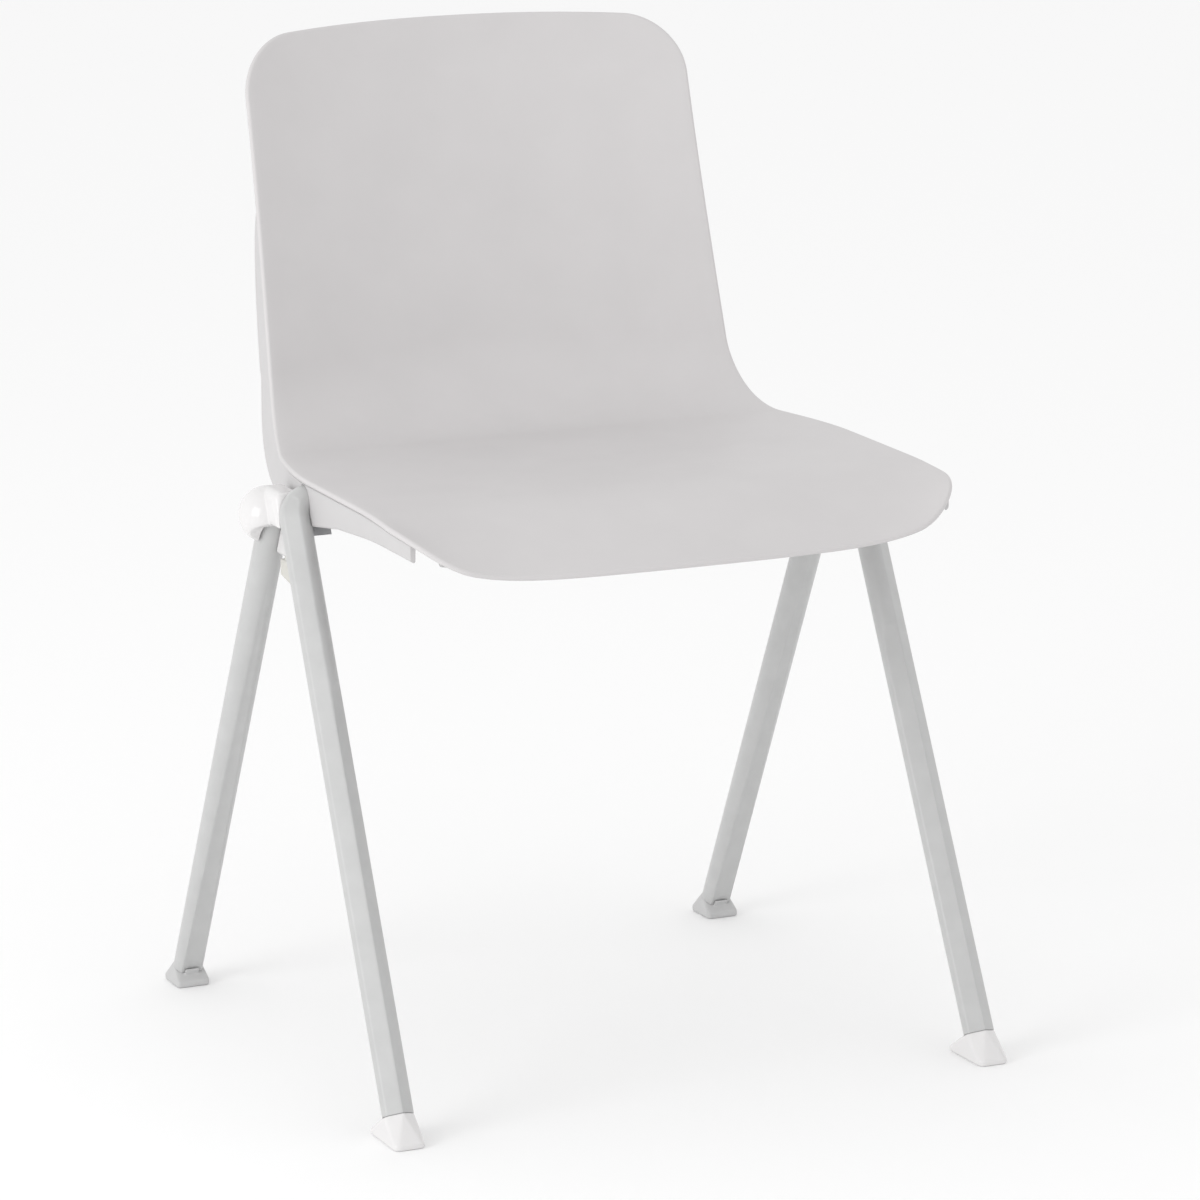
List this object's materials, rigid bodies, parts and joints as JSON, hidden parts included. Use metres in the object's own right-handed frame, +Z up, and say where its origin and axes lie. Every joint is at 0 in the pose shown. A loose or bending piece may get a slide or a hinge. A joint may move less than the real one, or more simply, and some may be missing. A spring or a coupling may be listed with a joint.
{
  "type": "stacking chair",
  "caption": "Armless stacking chair: one-piece moulded seat and back on two A-shaped tube side frames, joined at rounded hubs, with wedge-shaped feet.",
  "frame": {"origin": "on the floor, under the middle of the chair", "axes": "+Z up, -Y the way the chair faces, +X to the left of someone sitting on it"},
  "size_m": [0.5298, 0.516, 0.783],
  "materials": {
    "shell": "light warm grey moulded polypropylene, fine grain",
    "rail": "light grey moulded polypropylene, fine grain",
    "rib": "grey moulded polypropylene",
    "clamp": "grey moulded nylon",
    "frame": "light grey satin powder coat on steel tube",
    "core": "die-cast alloy",
    "hub": "white glossy moulding",
    "bumper": "off-white moulding",
    "front_foot": "white glossy moulding",
    "rear_foot": "grey moulding",
    "screw": "zinc-plated steel"
  },
  "bodies": {
    "root": {"seat_shell": "shell", "side_rail_left": "rail", "side_rail_right": "rail", "front_cross_rib": "rib", "front_leg_left": "frame", "front_leg_right": "frame", "rear_leg_left": "frame", "rear_leg_right": "frame", "front_cross_tube": "frame", "rear_cross_tube": "frame", "hub_core_left": "core", "hub_core_right": "core", "hub_cover_left": "hub", "hub_cover_right": "hub", "stacking_bumper_left": "bumper", "stacking_bumper_right": "bumper", "front_foot_left": "front_foot", "front_foot_right": "front_foot", "rear_foot_left": "rear_foot", "rear_foot_right": "rear_foot", "saddle_clamp_left": "clamp", "saddle_clamp_right": "clamp", "clamp_screw_front_left": "screw", "clamp_screw_front_right": "screw", "clamp_screw_rear_left": "screw", "clamp_screw_rear_right": "screw", "shell_screw_1_left": "screw", "shell_screw_1_right": "screw", "shell_screw_2_left": "screw", "shell_screw_2_right": "screw", "shell_screw_3_left": "screw", "shell_screw_3_right": "screw", "rib_screw_left": "screw", "rib_screw_right": "screw"}
  },
  "joints": []
}
